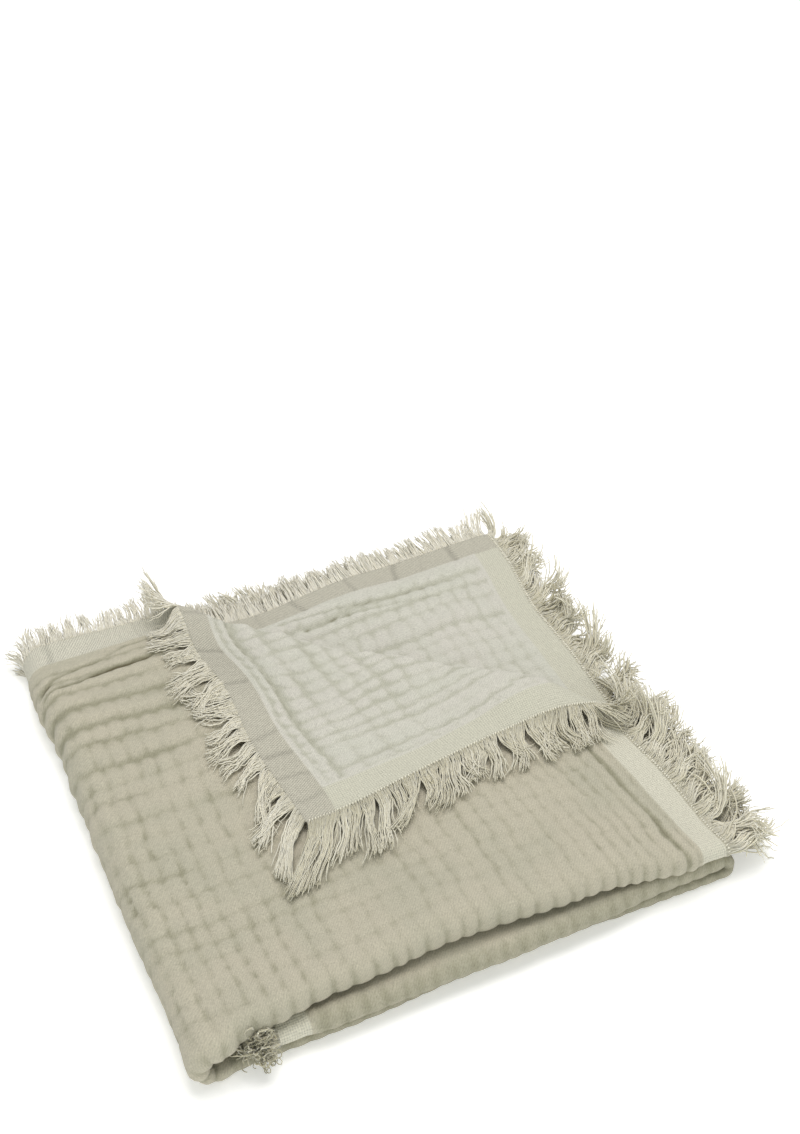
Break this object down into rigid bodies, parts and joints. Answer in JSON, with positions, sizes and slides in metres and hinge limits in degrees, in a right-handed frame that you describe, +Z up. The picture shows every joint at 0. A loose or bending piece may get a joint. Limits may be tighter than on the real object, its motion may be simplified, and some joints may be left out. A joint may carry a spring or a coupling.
{
  "type": "muslin baby blanket",
  "caption": "Folded baby blanket of crinkled muslin with flat woven borders and fringed edges, one top corner turned back",
  "frame": {"origin": "under the middle of the folded pile, on the surface that it lies on", "axes": "+X along the front fold towards the open right end, +Y from the front fold to the open back edge, +Z up"},
  "size_m": [0.4026, 0.4, 0.0615],
  "materials": {
    "crinkled_muslin": "matte crinkled cotton gauze, warm taupe outside and pale sage cream inside, with flat woven borders",
    "fringe_yarn": "soft matte loose cotton yarn, cream, sage and taupe"
  },
  "bodies": {
    "root": {"blanket_cloth": "crinkled_muslin", "fringe_top_back": "fringe_yarn", "fringe_corner_side": "fringe_yarn", "fringe_corner_front": "fringe_yarn", "fringe_top_end": "fringe_yarn", "fringe_under_back": "fringe_yarn", "fringe_bottom_back": "fringe_yarn", "fringe_lining_back": "fringe_yarn", "fringe_inner_back": "fringe_yarn", "fringe_middle_back": "fringe_yarn", "fringe_inner_end": "fringe_yarn"}
  },
  "joints": []
}
